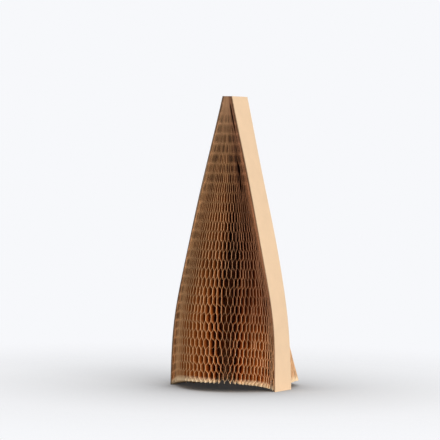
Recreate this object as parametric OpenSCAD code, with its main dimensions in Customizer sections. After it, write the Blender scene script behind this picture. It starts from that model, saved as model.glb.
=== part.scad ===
// Honeycomb paper sleeve for a bottle.
// Two honeycomb panels of glued kraft ribbons, a front one and a back one, stand between two
// kraft cover strips. The lower end is spread open and the upper end is pinched shut.
// Each ribbon here stands for about three of the real ones, so the cells are three times as large.
// X runs from cover to cover, Y from front to back and Z up. The origin is on the floor, under the
// middle of the whole, and the back panel reaches further than the front one.

/* [Sleeve] */
// Height of the cover strips
height = 259; // [230:1:320]
// Width over both covers at the open lower end
open_w = 105.5; // [80:0.5:130]
// Height at which the straight sides would bend into the taper
shoulder_z = 62.5; // [40:0.5:110]
// Softness of the bend between the straight sides and the taper
shoulder_soft = 0.19; // [0.1:0.01:0.4]
// Height of the closed block at the pinched end
pinch_h = 15; // [8:1:30]

/* [Honeycomb] */
// Depth of one panel, from its outer face to its inner face
panel_depth = 14.5; // [9:0.5:18]
// Ribbons across one panel, an odd number
ribbon_count = 25; // [13:2:25]
// Rows of cells up one panel
row_count = 10; // [4:1:10]
// Thickness of one ribbon
ribbon_t = 0.32; // [0.2:0.02:0.44]
// Length of one glued stretch of a ribbon
glue_l = 18.5; // [12:0.5:20]
// Height of the glued band along the lower rim
rim_glue_l = 9; // [4:0.5:14]

/* [Bulge] */
// Steepest turn of the front panel out of its flat line, in degrees
front_turn = 53; // [30:1:62]
// Steepest turn of the back panel above its flared hem, in degrees
back_turn = 64; // [30:1:70]
// What the flared hem adds to the turn of the back panel, in degrees
flare_turn = 26; // [0:1:30]
// Height of the flared hem of the back panel
flare_h = 56; // [20:1:70]
// Share of the height, from the floor up, at which the panels reach their full turn
full_turn_share = 0.2; // [0.05:0.05:0.4]
// How far the front rim rises above the floor in its middle
front_rise = 7.8; // [0:0.2:14]
// How far the back rim rises above the floor in its middle
back_rise = 9; // [0:0.2:14]

/* [Covers] */
// Thickness of a cover strip
cover_t = 0.8; // [0.4:0.1:1.5]

/* [Hidden] */

kraft = [0.80, 0.62, 0.42];
kraft_shade = [0.70, 0.52, 0.34];
kraft_pale = [0.93, 0.80, 0.64];

// Counts of seams between ribbons, of stations up a ribbon and of steps along half a section
seam_count = ribbon_count - 1;
glue_stations = 2 * row_count;
curve_steps = 24;

// Levels of the closed block, and the pitch of the rows under it
block_z = height - pinch_h;
row_pitch = (block_z - rim_glue_l + glue_l) / row_count;

// Half widths at the two ends, and the least room round a bend where a panel leaves its cover
open_half_w = open_w / 2;
pinch_half_w = ribbon_count * ribbon_t / 2 + cover_t;
bend_clear = 1.5;
bend_r = panel_depth / 2 + bend_clear;
bend_share_min = 0.35;

// Powers that shape how the turn grows down from the top and how the rim rises
turn_power = 1.5;
hem_power = 1;
rise_power = 2.4;
rise_top_share = 0.65;
rim_power = 2.5;

// How full the sides of each section are: 1 for a slender arch, more for a squarer one
front_fullness = 1;
back_fullness = 1.2;
hem_fullness = 1;

// Height of a station: two for each glued stretch, then the foot and the top of the block
function station_z(j) =
    j > glue_stations ? height :
    j == glue_stations ? block_z :
    max(0, rim_glue_l + floor(j / 2) * row_pitch - (1 - j % 2) * glue_l);
function station_v(j) = station_z(j) / height;

// Half width over the covers at a share v of the height: a straight wall blended into a straight taper
taper_gain = 1 / (1 - shoulder_z / height);
function blend_low(a, b) = (a + b - sqrt((a - b) * (a - b) + shoulder_soft * shoulder_soft)) / 2;
function raw_width(v) = blend_low(1, taper_gain * (1 - v));
function half_width(v) =
    pinch_half_w + (open_half_w - pinch_half_w) * (raw_width(v) - raw_width(1)) / (raw_width(0) - raw_width(1));

// Growth of the turn from the pinched end down, and of the flare down the hem
function turn_growth(v) = pow(sin(90 * min(1, (1 - v) / (1 - full_turn_share))), turn_power);
function hem_growth(v) = pow(max(0, 1 - v * height / flare_h), hem_power);

// Steepest turn and fullness of each panel at a share v of the height
function front_form(v) = [front_turn * turn_growth(v), front_fullness];
function back_form(v) =
    [back_turn * turn_growth(v) + flare_turn * hem_growth(v), back_fullness + hem_fullness * hem_growth(v)];

// Turn along half a section, as a share of the steepest one, between the middle and the bend
function turn_shape(x, fullness) = pow(sin(90 * x), fullness);

// Mean of a list, and the mean reach of a stretch per unit of its length
function mean(list) = list * [for (k = list) 1 / len(list)];
function mean_reach(turn, fullness) =
    mean([for (k = [0 : curve_steps - 1]) cos(turn * turn_shape((k + 0.5) / curve_steps, fullness))]);

// Running sums of a list, from zero
function running(list, k = 0, total = 0) =
    k == len(list) ? [total] : concat([total], running(list, k + 1, total + list[k]));

// Reach of a panel's section at a share v of the height, from its middle to its last seam
function seam_reach(v) = half_width(v) - cover_t - ribbon_t;

// Turn at a distance s along half a section from its middle: up to the bend, then down to the cover
function turn_at(s, form, run_l, bend_l) =
    s < run_l ? form[0] * turn_shape(s / run_l, form[1]) : form[0] * sin(90 * max(0, run_l + bend_l - s) / bend_l);

// Half a section at a share v: its length up to the bend, the bend's length, and evenly spaced lists of
// its reach from the middle and of its fall from the nose
function half_section(v, form) =
    let (
        bend_l = max(form[0] * PI / 180 * PI / 2 * bend_r, bend_share_min * seam_reach(v)),
        run_l = (seam_reach(v) - bend_l * mean_reach(form[0], 1)) / mean_reach(form[0], form[1]),
        step = (run_l + bend_l) / curve_steps,
        turns = [for (k = [0 : curve_steps - 1]) turn_at((k + 0.5) * step, form, run_l, bend_l)],
        reaches = running([for (a = turns) step * cos(a)]),
        falls = running([for (a = turns) step * sin(a)])
    )
    [run_l, bend_l, reaches * (seam_reach(v) / reaches[curve_steps]), falls];

// Value of an evenly spaced list at a share of its length
function between(list, share) =
    let (
        last = len(list) - 1,
        k = min(last - 1, floor(share * last)),
        rest = share * last - k
    )
    list[k] * (1 - rest) + list[k + 1] * rest;

// Distance of a panel's nose from the plane where the two panels meet
function nose_reach(section) = panel_depth / 2 + section[3][curve_steps];

// Point of a panel: seam place from 0 to 1, shift along the section, share of half the depth outward
function panel_point(section, form, rise, v, place, shift, side, out) =
    let (
        s = 2 * place - 1,
        t = abs(s),
        way = s < 0 ? -1 : 1,
        angle = way * turn_at(t * (section[0] + section[1]), form, section[0], section[1]),
        x = way * between(section[2], t) + shift * cos(angle) + out * panel_depth / 2 * sin(angle),
        y = nose_reach(section) - between(section[3], t) - shift * sin(angle)
            + out * panel_depth / 2 * cos(angle),
        lift = rise * pow(max(0, 1 - v / rise_top_share), rise_power) * (1 - pow(t, rim_power))
    )
    [x, side * y, v * height + lift];

// A seam is glued in a row when its number and the row's are both odd or both even
function glued(seam, row) = (seam + row) % 2 == 0;

// Place and shift of the two sides of a ribbon in a row
function left_side(i, row) =
    i == 0 ? [0, -ribbon_t] :
    i < seam_count && glued(i, row) ? [i / (seam_count - 1), -ribbon_t] :
    [(i - 1) / (seam_count - 1), 0];
function right_side(i, row) =
    i == 0 ? [0, 0] :
    i < seam_count && glued(i, row) ? [i / (seam_count - 1), 0] :
    [(i - 1) / (seam_count - 1), ribbon_t];

// Sides of the ribbons at a glued station, where two glued ribbons share theirs
function row_sides(row) = [
    for (i = [0 : ribbon_count - 1])
        for (side = i > 0 && glued(i - 1, row) ? [right_side(i, row)] : [left_side(i, row), right_side(i, row)])
            side
];

// Sides of the ribbons in the closed block, where all of them are shared
block_sides = concat(
    [[0, -ribbon_t]],
    [for (i = [0 : seam_count - 1]) [i / (seam_count - 1), 0]],
    [[1, ribbon_t]]
);

function station_row(j) = floor(j / 2);
function station_sides(j) = j < glue_stations ? row_sides(station_row(j)) : block_sides;

// Numbers of a ribbon's left and right side at a station
side_count = 2 * ribbon_count - seam_count / 2;
block_side_count = ribbon_count + 1;
function left_index(i, j) = j < glue_stations ? 2 * i - floor((i + 1 - station_row(j) % 2) / 2) : i;
function right_index(i, j) = left_index(i, j) + 1;
function station_start(j) =
    2 * (min(j, glue_stations) * side_count + max(0, j - glue_stations) * block_side_count);
function outer_point(j, k) = station_start(j) + k;
function inner_point(j, k) = station_start(j) + (j < glue_stations ? side_count : block_side_count) + k;

// Whether the gap beside a seam is open between a station and the next one
function gap_open(seam, j) =
    seam < 0 || seam >= seam_count ? true :
    j > glue_stations - 1 ? false :
    j == glue_stations - 1 || j % 2 == 0 ? !glued(seam, station_row(j)) :
    true;

// Two triangles for a wall with four corners
function quad(a, b, c, d) = [[a, b, c], [a, c, d]];

// Walls of one ribbon between a station and the next one
function ribbon_walls(i, j) =
    let (
        a = left_index(i, j),
        b = right_index(i, j),
        c = left_index(i, j + 1),
        d = right_index(i, j + 1),
        outer = quad(outer_point(j, a), outer_point(j, b), outer_point(j + 1, d), outer_point(j + 1, c)),
        inner = quad(inner_point(j, b), inner_point(j, a), inner_point(j + 1, c), inner_point(j + 1, d)),
        left = gap_open(i - 1, j) ?
            quad(inner_point(j, a), outer_point(j, a), outer_point(j + 1, c), inner_point(j + 1, c)) : [],
        right = gap_open(i, j) ?
            quad(inner_point(j, b), inner_point(j + 1, d), outer_point(j + 1, d), outer_point(j, b)) : []
    )
    concat(outer, inner, left, right);

// Cut end of one ribbon at a station
function ribbon_end(i, j) =
    let (a = left_index(i, j), b = right_index(i, j))
    quad(outer_point(j, a), inner_point(j, a), inner_point(j, b), outer_point(j, b));

function reversed(faces) = [for (face = faces) [face[2], face[1], face[0]]];

// Place in Y of the plane where the panels meet, with the origin under the middle of the whole
front_reach = nose_reach(half_section(0, front_form(0))) + panel_depth / 2;
back_reach = nose_reach(half_section(0, back_form(0))) + panel_depth / 2;
meet_y = (front_reach - back_reach) / 2;

// One honeycomb panel, with side -1 at the front and 1 at the back, from its form at each station
module panel(side, forms, rise) {
    last = glue_stations + 1;
    points = [
        for (j = [0 : last])
            let (section = half_section(station_v(j), forms[j]))
            for (out = [1, -1])
                for (place = station_sides(j))
                    panel_point(section, forms[j], rise, station_v(j), place[0], place[1], side, out)
    ];
    walls = [
        for (j = [0 : last - 1])
            for (i = [0 : ribbon_count - 1])
                for (face = ribbon_walls(i, j))
                    face
    ];
    low_end = [for (i = [0 : ribbon_count - 1]) for (face = ribbon_end(i, 0)) face];
    high_end = [for (i = [0 : ribbon_count - 1]) for (face = ribbon_end(i, last)) face];
    faces = concat(walls, low_end, reversed(high_end));
    translate([0, meet_y, 0])
        polyhedron(points, side < 0 ? reversed(faces) : faces, convexity = 20);
}

module front_honeycomb() {
    color(kraft)
        panel(-1, [for (j = [0 : glue_stations + 1]) front_form(station_v(j))], front_rise);
}

module back_honeycomb() {
    color(kraft_shade)
        panel(1, [for (j = [0 : glue_stations + 1]) back_form(station_v(j))], back_rise);
}

// The cover strip on the right, as wide as both panels are deep, with a slight bend at each station
module cover() {
    levels = [for (j = [0 : glue_stations + 1]) [half_width(station_v(j)), station_z(j)]];
    inner_levels = [for (j = [glue_stations + 1 : -1 : 0]) levels[j] - [cover_t, 0]];
    color(kraft_pale)
        translate([0, meet_y, 0])
            rotate([90, 0, 0])
                linear_extrude(height = 2 * panel_depth, center = true)
                    polygon(concat(levels, inner_levels));
}

module right_cover() {
    cover();
}

module left_cover() {
    mirror([1, 0, 0])
        cover();
}

front_honeycomb();
back_honeycomb();
left_cover();
right_cover();
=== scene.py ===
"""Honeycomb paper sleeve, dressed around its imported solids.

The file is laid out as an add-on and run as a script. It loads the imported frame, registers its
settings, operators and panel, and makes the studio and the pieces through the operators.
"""

import math
from functools import partial

import bpy
from bpy.props import FloatProperty, FloatVectorProperty, IntProperty, PointerProperty
from mathutils import Matrix, Vector


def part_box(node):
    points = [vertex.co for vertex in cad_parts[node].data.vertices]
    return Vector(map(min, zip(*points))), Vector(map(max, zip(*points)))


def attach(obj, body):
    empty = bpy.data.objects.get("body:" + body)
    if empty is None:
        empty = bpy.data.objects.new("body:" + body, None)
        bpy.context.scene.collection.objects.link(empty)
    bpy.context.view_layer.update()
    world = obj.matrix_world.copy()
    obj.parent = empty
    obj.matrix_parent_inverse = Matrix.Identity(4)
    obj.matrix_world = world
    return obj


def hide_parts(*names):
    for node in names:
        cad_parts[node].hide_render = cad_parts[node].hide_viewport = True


bl_info = {
    "name": "Honeycomb Paper Sleeve",
    "version": (1, 0, 0),
    "blender": (4, 5, 0),
    "location": "View3D > Sidebar > Sleeve",
    "description": "Makes a honeycomb kraft paper packing sleeve and its studio",
    "category": "Add Mesh",
}

# The frame is fixed, and the sizes below that the solids carry are read from it
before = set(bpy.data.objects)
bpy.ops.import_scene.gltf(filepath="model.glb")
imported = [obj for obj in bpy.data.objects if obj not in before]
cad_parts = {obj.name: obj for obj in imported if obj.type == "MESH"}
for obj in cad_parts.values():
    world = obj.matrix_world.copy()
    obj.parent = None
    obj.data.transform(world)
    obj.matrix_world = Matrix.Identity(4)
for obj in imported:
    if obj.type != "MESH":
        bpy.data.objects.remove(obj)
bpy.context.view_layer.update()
COVER_LOW, COVER_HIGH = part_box("right_cover")

MM = 0.001

# Powers and shares that shape the bulge, as in the solids
TURN_POWER = 1.5
RISE_POWER = 2.4
RISE_TOP_SHARE = 0.65
RIM_POWER = 2.5
FRONT_FULLNESS = 1.0
BACK_FULLNESS = 1.2
HEM_FULLNESS = 1.0
BEND_CLEAR = 1.5 * MM
BEND_SHARE_MIN = 0.35

# Steps along half a section, and the guide surface's points across and up
SECTION_STEPS = 60
GUIDE_ACROSS = 121
GUIDE_UP = 105

# Room that the outermost ribbon takes between the last seam and its cover
LAST_SEAM_ROOM = 0.12 * MM

# Steps of a ribbon in one row, one along the glue and four along the free stretch, and through its depth
ROW_STATIONS = 5.0
DEPTH_STEPS = 2

# Pitch of ribbons that lie closed, in thicknesses, and the share of its thickness that a ribbon fills
CLOSED_PITCH = 1.04
RIBBON_FILL = 0.97

# Limits of a share of the guide surface, just inside its edges
SHARE_MIN = 0.0001
SHARE_MAX = 0.9999

# Drift of the seams: the noise's step for each seam, row and panel, its swing, and its fall at the covers
DRIFT_STEPS = (0.11, 1.7, 1.37)
DRIFT_SWING = 4.0
DRIFT_FALL = 12.0

# More than the seams in a row, so that each seam of a panel has a number of its own
ROW_NUMBERS = 1000.0

# Small push that keeps a whole number of rows from rounding down
ROW_NUDGE = 0.001

# The slits: their widths at shares of the height, the ribbons between them and the unopened ones on the
# right, where the lower one gives way to the upper one, how many ribbons share the push, and the back's share
SLIT_WIDTHS = (
    (0.64, 0.0), (0.69, 0.55), (0.76, 1.0), (0.81, 0.15), (0.85, 0.1), (0.89, 0.85), (0.94, 1.0), (0.97, 0.6),
    (0.985, 0.0),
)
LOWER_SLIT_IN = 20.5
UPPER_SLIT_IN = 14.5
SLIT_CHANGE = (0.8, 0.85)
SLIT_FADE = 10.0
BACK_SLIT_SHARE = 0.4

# Noise steps from ribbon to ribbon for the bow of the free stretches and ragged edges, and the bow's swing
BOW_NOISE = 0.73
EDGE_NOISE = 0.61
BOW_SWING = 8.0

# Bunches of close ribbons: noise steps for each ribbon, row and panel, and how much painted shade darkens the
# gaps between them and how much painted light lightens the rest
BUNCH_STEPS = (0.71, 2.3, 5.3)
BUNCH_SHADE = -0.85
BUNCH_LIGHT = 0.32

# Pitch of the open seams that the paper's material counts as fully spread
FULL_SPREAD = 2.7 * MM

# What the node trees store on a ribbon's points for the paper's material
PAPER_MARKS = (
    "depth_share", "rim_rows", "paper_tone", "stacked", "spread", "browner", "paler", "gather_tone",
)

# Painted light and shade on the ribbons, from painted shade where they stand tight to painted light where
# they are fully spread
SPREAD_LIGHT_AND_SHADE = (
    (0.06, (0.58, 0.58, 0.58, 1.0)),
    (0.2, (0.8, 0.74, 0.65, 1.0)),
    (0.33, (1.2, 1.1, 0.97, 1.0)),
    (0.5, (1.35, 1.3, 1.22, 1.0)),
    (0.85, (1.22, 1.2, 1.18, 1.0)),
)
# Tint of the painted shade on the front's right half, and black for the painted shade in narrow cells
RIGHT_SHADE_TINT = (0.56, 0.47, 0.48, 1.0)
NARROW_CELL_SHADE = (0.0, 0.0, 0.0, 1.0)

# Share of the depth that the cut edge takes, and how far the unopened ribbons' painted shade covers the
# paper's own colour
EDGE_SHARE = 0.003
STACK_SHADE_COVER = 0.85

# Points of a cover strip across and up, how far its edges wave, the waves' turns up and across it, and the
# share of the height over which the hem draws it out
COVER_ACROSS = 12
COVER_UP = 110
COVER_WAVE = 0.35 * MM
WAVE_UP = 11
WAVE_ACROSS = 2.5
COVER_FLARE_SHARE = 0.4

# Each lamp's azimuth in degrees, height, level distance and size in metres, and power in watts
LAMPS = {
    "key_softbox": (60, 0.75, 1.3, 0.9, 15.2),
    "fill_softbox": (12, 0.30, 1.6, 0.8, 2.5),
}
LAMP_AIM_HEIGHT = 0.12
AMBIENT = 0.36

# The floor: its size, the distances between which it fades, how far it looks for its painted shade, how that
# painted shade deepens, its darkest, and how much of what is seen is the backdrop's colour with painted shade
# and no lamp on it
FLOOR_RADIUS = 1.6
FLOOR_SIDES = 96
FLOOR_FADE = (0.09, 0.5)
SHADE_REACH = 0.2
SHADE_POWER = 2.0
SHADE_MIN = 0.04
SHADE_SHARE = 0.7

# The two kinds of node that are used most, the second one's inputs in order, and units of the settings
MATH = "ShaderNodeMath"
MAP_RANGE = "ShaderNodeMapRange"
RANGE = ("Value", "From Min", "From Max", "To Min", "To Max")
LENGTH = {"unit": "LENGTH", "subtype": "DISTANCE"}
ANGLE = {"unit": "ROTATION", "subtype": "ANGLE"}
COLOUR = {"size": 4, "subtype": "COLOR"}


def linear(code):
    """Linear RGBA of an sRGB hex colour."""
    parts = [int(code[i:i + 2], 16) / 255 for i in (1, 3, 5)]
    return tuple(c / 12.92 if c <= 0.04045 else ((c + 0.055) / 1.055) ** 2.4 for c in parts) + (1.0,)


def add_node(tree, kind, inputs=None, operation=None, **settings):
    """Adds a node with its settings, and sets or links its inputs. A node stands for its first output."""
    node = tree.nodes.new(kind)
    if operation:
        settings["operation"] = operation
    for name, value in settings.items():
        setattr(node, name, value)
    for key, value in (inputs or {}).items():
        if isinstance(value, bpy.types.Node):
            value = next(s for s in value.outputs if s.enabled)
        if isinstance(value, bpy.types.NodeSocket):
            tree.links.new(value, node.inputs[key])
        else:
            node.inputs[key].default_value = value
    return node


class SleeveForm(bpy.types.PropertyGroup):
    """Sizes of the sleeve's form. The solids share all but the back rise, the hem and the cover flare."""

    height: FloatProperty(
        name="Height", description="Height of the cover strips", default=COVER_HIGH.z, **LENGTH)
    open_width: FloatProperty(
        name="Open Width", description="Width over both covers at the open lower end",
        default=2 * COVER_HIGH.x, **LENGTH)
    pinch_width: FloatProperty(
        name="Pinched Width", description="Width over both covers at the pinched upper end",
        default=9.6 * MM, **LENGTH)
    panel_depth: FloatProperty(
        name="Panel Depth", description="Depth of one honeycomb panel from its outer to its inner face",
        default=(COVER_HIGH.y - COVER_LOW.y) / 2, **LENGTH)
    meet_y: FloatProperty(
        name="Meeting Plane", description="Place in Y of the plane where the two panels meet",
        default=(COVER_HIGH.y + COVER_LOW.y) / 2, **LENGTH)
    shoulder_height: FloatProperty(
        name="Shoulder Height", description="Height at which the straight sides would bend into the taper",
        default=62.5 * MM, **LENGTH)
    shoulder_softness: FloatProperty(
        name="Shoulder Softness", description="Softness of the bend at the shoulder", default=0.19)
    front_turn: FloatProperty(
        name="Front Turn", description="Steepest turn of the front panel out of its flat line",
        default=math.radians(53), **ANGLE)
    back_turn: FloatProperty(
        name="Back Turn", description="Steepest turn of the back panel above its hem",
        default=math.radians(64), **ANGLE)
    flare_turn: FloatProperty(
        name="Flare Turn", description="What the flared hem adds to the turn of the back panel",
        default=math.radians(24), **ANGLE)
    flare_height: FloatProperty(
        name="Flare Height", description="Height of the flared hem of the back panel",
        default=50 * MM, **LENGTH)
    full_turn_share: FloatProperty(
        name="Full Turn Share", description="Share of the height at which the panels reach their full turn",
        default=0.2, subtype="FACTOR")
    front_rise: FloatProperty(
        name="Front Rise", description="How far the front rim rises in its middle",
        default=7.8 * MM, **LENGTH)
    back_rise: FloatProperty(
        name="Back Rise", description="How steeply the back rim rises on its right half",
        default=12 * MM, **LENGTH)
    cover_flare: FloatProperty(
        name="Cover Flare", description="How far the flared hem draws a cover's back edge out at the foot",
        default=1.2 * MM, **LENGTH)
    cover_thickness: FloatProperty(
        name="Cover Thickness", description="Thickness of a cover strip",
        default=0.8 * MM, **LENGTH)


class CombPaper(bpy.types.PropertyGroup):
    """Counts and sizes of the real ribbons and of their glue lines."""

    ribbons: IntProperty(
        name="Ribbons", description="Paper ribbons across one panel, an odd number", default=85, min=3)
    unopened: IntProperty(
        name="Unopened Ribbons", description="Ribbons next to each cover that stay flat against it",
        default=7, min=0)
    split: FloatProperty(
        name="Split", description="Widest slit near the right cover, where a glue line has let go",
        default=1.7 * MM, **LENGTH)
    raggedness: FloatProperty(
        name="Raggedness", description="How far the cut edges stand in and out of the panel's face",
        default=0.6 * MM, **LENGTH)
    rows: IntProperty(
        name="Rows", description="Rows of glue lines up one panel, with the cut one at the rim",
        default=32, min=2)
    paper_thickness: FloatProperty(
        name="Paper Thickness", description="Thickness of a ribbon where there is room for it",
        default=0.14 * MM, **LENGTH)
    glue_share: FloatProperty(
        name="Glue Share", description="Share of a row's pitch that is glued", default=0.42, subtype="FACTOR")
    rim_cut: FloatProperty(
        name="Rim Cut", description="Share of a row's pitch that the cut at the rim takes off the lowest row",
        default=0.3, subtype="FACTOR")
    row_growth: FloatProperty(
        name="Row Growth", description="How much taller the rows are at the pinched end than at the rim",
        default=0.085, subtype="FACTOR")
    tightness: FloatProperty(
        name="Tightness", description="How much the seams crowd towards both covers at the pinched end",
        default=0.2, subtype="FACTOR")
    crowding: FloatProperty(
        name="Crowding", description="How much the open cells of the front crowd towards its right cover",
        default=0.065, subtype="FACTOR")
    unevenness: FloatProperty(
        name="Unevenness", description="Sideways scatter of the glue lines, as a share of their pitch",
        default=0.15, subtype="FACTOR")
    drift: FloatProperty(
        name="Drift", description="Sideways drift that neighbouring glue lines of a row share, in pitches",
        default=1.0, subtype="FACTOR")
    back_lean: FloatProperty(
        name="Back Lean", description="Lean of the back ribbons through their depth, at the panel's middle",
        default=math.radians(-18), **ANGLE)
    back_cup: FloatProperty(
        name="Back Cup", description="Sideways bow of the back ribbons halfway through their depth",
        default=3 * MM, **LENGTH)
    crinkle: FloatProperty(
        name="Crinkle", description="How far the free stretches bow", default=0.16 * MM, **LENGTH)


class SleeveColours(bpy.types.PropertyGroup):
    """Colours of the papers, with painted light and shade among them, and of what is behind the sleeve."""

    cut_edge: FloatVectorProperty(
        name="Cut Edge", description="Kraft ribbon at its cut edge", default=linear("#D9A378"), **COLOUR)
    # Painted light and shade into the cells: the wall is painted light just behind the edge, the shaded wall
    # painted shade 0.6 mm in, and the deep wall an orange painted bounce light in the shade deep in the cells
    wall: FloatVectorProperty(
        name="Wall", description="Kraft ribbon just behind its edge", default=linear("#ECB985"), **COLOUR)
    shade: FloatVectorProperty(
        name="Shaded Wall", description="Kraft ribbon 0.6 mm behind its edge",
        default=linear("#AC6630"), **COLOUR)
    deep: FloatVectorProperty(
        name="Deep Wall", description="Kraft ribbon deep in the cells", default=linear("#B8621F"), **COLOUR)
    # Painted shade on the unopened ribbons beside the covers
    stack: FloatVectorProperty(
        name="Stack", description="Unopened ribbons beside the covers", default=linear("#4E3827"), **COLOUR)
    # Painted light from below on the ribbons along the cut rim
    rim: FloatVectorProperty(
        name="Rim", description="Kraft ribbon along the cut lower rim", default=linear("#FBDDB4"), **COLOUR)
    # Painted light on the back's flared hem
    hem: FloatVectorProperty(
        name="Hem", description="Kraft ribbon in the flared hem, open to the light",
        default=linear("#DDBB94"), **COLOUR)
    cover: FloatVectorProperty(
        name="Cover", description="Pale kraft cover card", default=linear("#F0CFAA"), **COLOUR)
    fleck: FloatVectorProperty(
        name="Fleck", description="Darker fibres in the cover card", default=linear("#B98C62"), **COLOUR)
    cover_edge: FloatVectorProperty(
        name="Cover Edge", description="Brown core of the cover card at its cut edges",
        default=linear("#A98566"), **COLOUR)
    # Painted shade on the left cover strip's cut edges
    left_edge_shade: FloatVectorProperty(
        name="Soaked Edge", description="Cover card's edge where it has soaked up glue",
        default=linear("#2E1E14"), **COLOUR)
    backdrop: FloatVectorProperty(
        name="Backdrop", description="Colour behind the sleeve", default=linear("#F7F8FB"), **COLOUR)


class SleeveStudio(bpy.types.PropertyGroup):
    """Place, aim and lens of the camera."""

    azimuth: FloatProperty(
        name="Azimuth", description="Angle of the camera round the sleeve, to the right of its front",
        default=math.radians(28), **ANGLE)
    distance: FloatProperty(
        name="Distance", description="Level distance from the sleeve's axis to the camera",
        default=2.137, **LENGTH)
    camera_height: FloatProperty(
        name="Camera Height", description="Height of the camera above the floor", default=0.220, **LENGTH)
    aim_height: FloatProperty(
        name="Aim Height", description="Height on the axis that the middle of the picture is level with",
        default=0.1489, **LENGTH)
    aim_left: FloatProperty(
        name="Aim Left", description="How far left of the axis the camera aims", default=0.0114, **LENGTH)
    roll: FloatProperty(
        name="Roll", description="Roll of the camera about its line of sight",
        default=math.radians(1.01), **ANGLE)
    focal_length: FloatProperty(
        name="Focal Length", description="Focal length of the lens in millimetres, on a 36 mm sensor",
        default=196.4)


def soft_low(a, b, softness):
    """The lower of two values, with a rounded crossing."""
    return (a + b - math.sqrt((a - b) ** 2 + softness ** 2)) / 2


def half_width(form, v):
    """Half the width over the covers at a share v of the height."""
    gain = 1 / (1 - form.shoulder_height / form.height)
    here, top, foot = (soft_low(1, gain * (1 - share), form.shoulder_softness) for share in (v, 1, 0))
    pinch = form.pinch_width / 2
    return pinch + (form.open_width / 2 - pinch) * (here - top) / (foot - top)


def cover_out(form, v, u):
    """How far a cover stands out at a share v of the height and u of its width, from -0.5 at the front."""
    return form.cover_flare * (u + 0.5) * max(0, 1 - v / COVER_FLARE_SHARE) ** 2


def panel_form(form, side, v):
    """Steepest turn, fullness and rise of a panel at a share v of the height. Side is -1 for the front."""
    growth = math.sin(math.pi / 2 * min(1, (1 - v) / (1 - form.full_turn_share))) ** TURN_POWER
    if side < 0:
        return form.front_turn * growth, FRONT_FULLNESS, form.front_rise
    hem = max(0, 1 - v * form.height / form.flare_height)
    return form.back_turn * growth + form.flare_turn * hem, BACK_FULLNESS + HEM_FULLNESS * hem, form.back_rise


def turn_shape(x, fullness):
    """Turn between the middle of a section and its bend, as a share of the steepest one."""
    return math.sin(math.pi / 2 * x) ** fullness


def mean_reach(turn, fullness):
    """Mean reach of a stretch of a section per unit of its length."""
    shares = ((k + 0.5) / SECTION_STEPS for k in range(SECTION_STEPS))
    return sum(math.cos(turn * turn_shape(x, fullness)) for x in shares) / SECTION_STEPS


def half_section(form, side, v):
    """Half a section from its middle to its last seam: its length, and reach, fall and turn at even steps."""
    turn, fullness, _ = panel_form(form, side, v)
    reach = half_width(form, v) + cover_out(form, v, side / 4) - form.cover_thickness - LAST_SEAM_ROOM
    bend = max(turn * math.pi / 2 * (form.panel_depth / 2 + BEND_CLEAR), BEND_SHARE_MIN * reach)
    run = (reach - bend * mean_reach(turn, 1)) / mean_reach(turn, fullness)
    length = run + bend

    def turn_at(s):
        if s < run:
            return turn * turn_shape(s / run, fullness)
        return turn * math.sin(math.pi / 2 * max(0, length - s) / bend)

    step = length / SECTION_STEPS
    reaches, falls = [0.0], [0.0]
    for k in range(SECTION_STEPS):
        angle = turn_at((k + 0.5) * step)
        reaches.append(reaches[-1] + step * math.cos(angle))
        falls.append(falls[-1] + step * math.sin(angle))
    scale = reach / reaches[-1]
    turns = [turn_at(k * step) for k in range(SECTION_STEPS + 1)]
    return length, [x * scale for x in reaches], falls, turns


def guide_mesh(form, side):
    """Mid-surface of a panel. Its points carry their place across and up, their turn and the length there."""
    half_across = GUIDE_ACROSS // 2
    points, places, forms = [], [], []
    for row in range(GUIDE_UP):
        v = row / (GUIDE_UP - 1)
        rise = panel_form(form, side, v)[2] * max(0, 1 - v / RISE_TOP_SHARE) ** RISE_POWER
        length, reaches, falls, turns = half_section(form, side, v)
        nose = form.panel_depth / 2 + falls[-1]
        for column in range(GUIDE_ACROSS):
            way = -1 if column < half_across else 1
            k = abs(column - half_across)
            t = k / half_across
            lift = rise * (1 - t ** RIM_POWER)
            # The back rim stays level on its left half
            if side > 0:
                lift *= max(0, way * t)
            points.append((way * reaches[k], form.meet_y + side * (nose - falls[k]), v * form.height + lift))
            places.append((column / (GUIDE_ACROSS - 1), v, 0.0))
            forms.append((way * turns[k], 2 * length, 0.0))
    faces = [
        (a, a + 1, a + 1 + GUIDE_ACROSS, a + GUIDE_ACROSS)
        for row in range(GUIDE_UP - 1)
        for a in range(row * GUIDE_ACROSS, (row + 1) * GUIDE_ACROSS - 1)
    ]
    mesh = bpy.data.meshes.new("comb_guide")
    mesh.from_pydata(points, [], faces)
    for name, values in (("panel_place", places), ("panel_form", forms)):
        layer = mesh.attributes.new(name, "FLOAT_VECTOR", "POINT")
        layer.data.foreach_set("vector", [x for value in values for x in value])
    return mesh


def new_tree(name, sockets, results):
    """A Geometry Nodes tree with named inputs, given by kind, and named results of one kind."""
    tree = bpy.data.node_groups.new(name, "GeometryNodeTree")
    for kind, names in sockets:
        for socket in names:
            tree.interface.new_socket(socket, in_out="INPUT", socket_type="NodeSocket" + kind)
    kind, names = results
    for socket in names:
        tree.interface.new_socket(socket, in_out="OUTPUT", socket_type="NodeSocket" + kind)
    return tree


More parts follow.
